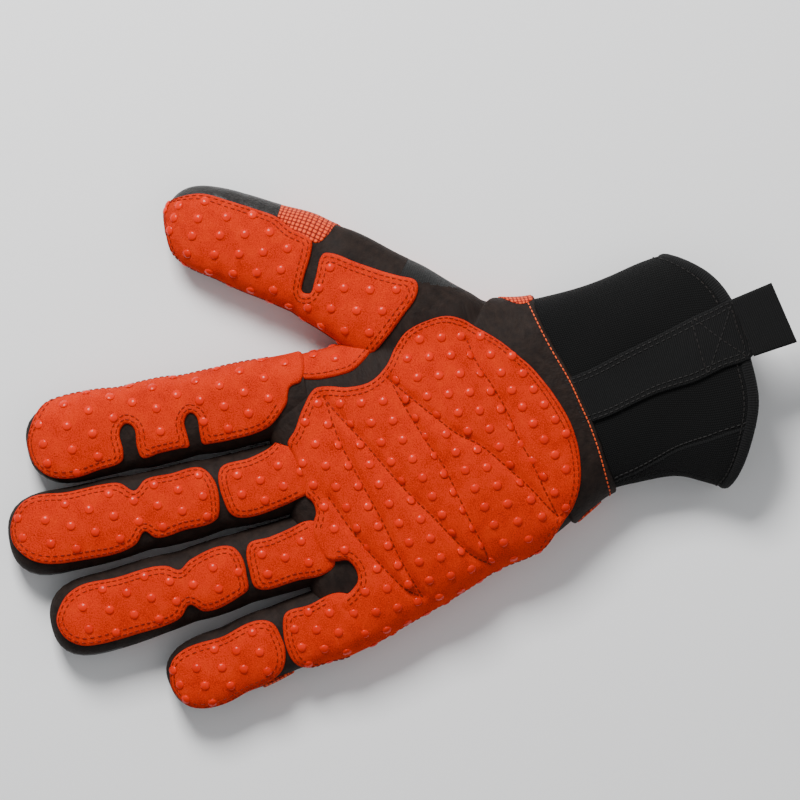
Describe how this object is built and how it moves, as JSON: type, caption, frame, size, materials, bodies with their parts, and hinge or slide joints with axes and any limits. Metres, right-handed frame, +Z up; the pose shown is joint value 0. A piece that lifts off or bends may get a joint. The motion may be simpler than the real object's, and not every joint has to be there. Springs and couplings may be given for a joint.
{
  "type": "work glove",
  "caption": "Right-hand slip-on work glove, palm up: padded palm, gripping pads on bending fingers, stretch cuff with a pull strap and tab.",
  "frame": {"origin": "centre of the bounding box in plan, at the height of the surface that the glove lies on", "axes": "+Y towards the fingertips, +X towards the thumb side, +Z up out of the palm"},
  "size_m": [0.1721, 0.2778, 0.0314],
  "materials": {
    "suede_orange": "suede, matt",
    "silicone_red": "glossy raised dots",
    "leather_black": "smooth, semi-matt",
    "woven_orange": "basket weave",
    "neoprene_black": "knitted neoprene",
    "webbing_black": "woven webbing",
    "thread_orange": "sewing thread",
    "foam_grey": "foam"
  },
  "bodies": {
    "hand": {"palm_base": "leather_black", "back_panel": "woven_orange", "palm_pad": "suede_orange", "palm_foam": "foam_grey", "web_middle_ring": "leather_black", "web_ring_little": "leather_black", "crotch_panel": "suede_orange", "thumb_patch": "neoprene_black", "wrist_band": "leather_black"},
    "index_base": {"index_base_back": "woven_orange", "index_base_pad": "suede_orange", "index_base_sleeve": "leather_black"},
    "index_middle": {"index_knuckle_strip": "leather_black", "index_mid_back": "woven_orange", "index_mid_pad": "suede_orange", "index_mid_sleeve": "leather_black"},
    "index_end": {"index_tip_pad": "suede_orange", "index_tip_sleeve": "leather_black"},
    "middle_base": {"middle_base_back": "woven_orange", "middle_base_pad": "suede_orange", "middle_base_sleeve": "leather_black"},
    "middle_middle": {"middle_knuckle_strip": "leather_black", "middle_mid_back": "woven_orange", "middle_mid_pad": "suede_orange", "middle_mid_sleeve": "leather_black"},
    "middle_end": {"middle_tip_pad": "suede_orange", "middle_tip_sleeve": "leather_black"},
    "ring_base": {"ring_base_back": "woven_orange", "ring_base_pad": "suede_orange", "ring_base_sleeve": "leather_black"},
    "ring_middle": {"ring_knuckle_strip": "leather_black", "ring_mid_back": "woven_orange", "ring_mid_pad": "suede_orange", "ring_mid_sleeve": "leather_black"},
    "ring_end": {"ring_tip_pad": "suede_orange", "ring_tip_sleeve": "leather_black"},
    "little_base": {"little_base_back": "woven_orange", "little_base_pad": "suede_orange", "little_base_sleeve": "leather_black"},
    "little_middle": {"little_knuckle_strip": "leather_black", "little_mid_back": "woven_orange", "little_mid_pad": "suede_orange", "little_mid_sleeve": "leather_black"},
    "little_end": {"little_tip_pad": "suede_orange", "little_tip_sleeve": "leather_black"},
    "thumb_base": {"thumb_base_pad": "suede_orange", "thumb_base_sleeve": "leather_black"},
    "thumb_end": {"thumb_leather_cap": "leather_black", "thumb_tip_pad": "suede_orange", "thumb_tip_sleeve": "leather_black", "thumb_woven_strip": "woven_orange"},
    "cuff": {"cuff_back_panel": "neoprene_black", "cuff_binding": "webbing_black", "cuff_gusset": "neoprene_black", "cuff_palm_panel": "neoprene_black", "pull_strap": "webbing_black"},
    "tab": {"pull_tab": "webbing_black"}
  },
  "joints": [
    {"name": "index_root_joint", "type": "hinge", "parent": "hand", "child": "index_base", "pos_m": [0.009, 0.0343, 0.02], "axis": [1, 0, 0], "range_deg": [0, 70], "stiffness_Nm_per_rad": 0.03},
    {"name": "index_middle_joint", "type": "hinge", "parent": "index_base", "child": "index_middle", "pos_m": [0.01103, 0.0665, 0.01909], "axis": [1, 0, 0], "range_deg": [0, 80], "stiffness_Nm_per_rad": 0.02},
    {"name": "index_end_joint", "type": "hinge", "parent": "index_middle", "child": "index_end", "pos_m": [0.01245, 0.089, 0.01874], "axis": [1, 0, 0], "range_deg": [0, 50], "stiffness_Nm_per_rad": 0.012},
    {"name": "middle_root_joint", "type": "hinge", "parent": "hand", "child": "middle_base", "pos_m": [-0.0178, 0.0343, 0.02], "axis": [1, 0, 0], "range_deg": [0, 70], "stiffness_Nm_per_rad": 0.03},
    {"name": "middle_middle_joint", "type": "hinge", "parent": "middle_base", "child": "middle_middle", "pos_m": [-0.01681, 0.0652, 0.01918], "axis": [1, 0, 0], "range_deg": [0, 80], "stiffness_Nm_per_rad": 0.02},
    {"name": "middle_end_joint", "type": "hinge", "parent": "middle_middle", "child": "middle_end", "pos_m": [-0.01597, 0.0915, 0.01882], "axis": [1, 0, 0], "range_deg": [0, 50], "stiffness_Nm_per_rad": 0.012},
    {"name": "ring_root_joint", "type": "hinge", "parent": "hand", "child": "ring_base", "pos_m": [-0.0426, 0.0343, 0.02], "axis": [1, 0, 0], "range_deg": [0, 70], "stiffness_Nm_per_rad": 0.03},
    {"name": "ring_middle_joint", "type": "hinge", "parent": "ring_base", "child": "ring_middle", "pos_m": [-0.04363, 0.063, 0.01918], "axis": [1, 0, 0], "range_deg": [0, 80], "stiffness_Nm_per_rad": 0.02},
    {"name": "ring_end_joint", "type": "hinge", "parent": "ring_middle", "child": "ring_end", "pos_m": [-0.04435, 0.083, 0.01889], "axis": [1, 0, 0], "range_deg": [0, 50], "stiffness_Nm_per_rad": 0.012},
    {"name": "little_root_joint", "type": "hinge", "parent": "hand", "child": "little_base", "pos_m": [-0.0672, 0.0343, 0.02], "axis": [1, 0, 0], "range_deg": [0, 70], "stiffness_Nm_per_rad": 0.03},
    {"name": "little_middle_joint", "type": "hinge", "parent": "little_base", "child": "little_middle", "pos_m": [-0.07017, 0.056, 0.01912], "axis": [1, 0, 0], "range_deg": [0, 80], "stiffness_Nm_per_rad": 0.02},
    {"name": "little_end_joint", "type": "hinge", "parent": "little_middle", "child": "little_end", "pos_m": [-0.0725, 0.073, 0.01874], "axis": [1, 0, 0], "range_deg": [0, 50], "stiffness_Nm_per_rad": 0.012},
    {"name": "thumb_root_joint", "type": "hinge", "parent": "hand", "child": "thumb_base", "pos_m": [0.033, -0.001, 0.023], "axis": [0.7071, -0.7071, 0], "range_deg": [0, 40], "stiffness_Nm_per_rad": 0.03},
    {"name": "thumb_end_joint", "type": "hinge", "parent": "thumb_base", "child": "thumb_end", "pos_m": [0.04827, 0.01427, 0.0224], "axis": [0.8387, -0.5446, 0], "range_deg": [0, 50], "stiffness_Nm_per_rad": 0.012},
    {"name": "wrist_joint", "type": "hinge", "parent": "hand", "child": "cuff", "pos_m": [-0.0152, -0.0591, 0.021], "axis": [-1, 0, 0], "range_deg": [-30, 50], "stiffness_Nm_per_rad": 0.06},
    {"name": "tab_joint", "type": "hinge", "parent": "cuff", "child": "tab", "pos_m": [-0.0086, -0.1237, 0.0285], "axis": [-0.9977, -0.068, 0], "range_deg": [-60, 130], "stiffness_Nm_per_rad": 0.008}
  ],
  "couplings": [
    {"joint": "index_end_joint", "follows": "index_middle_joint", "ratio": 0.6},
    {"joint": "middle_end_joint", "follows": "middle_middle_joint", "ratio": 0.6},
    {"joint": "ring_end_joint", "follows": "ring_middle_joint", "ratio": 0.6},
    {"joint": "little_end_joint", "follows": "little_middle_joint", "ratio": 0.6}
  ]
}
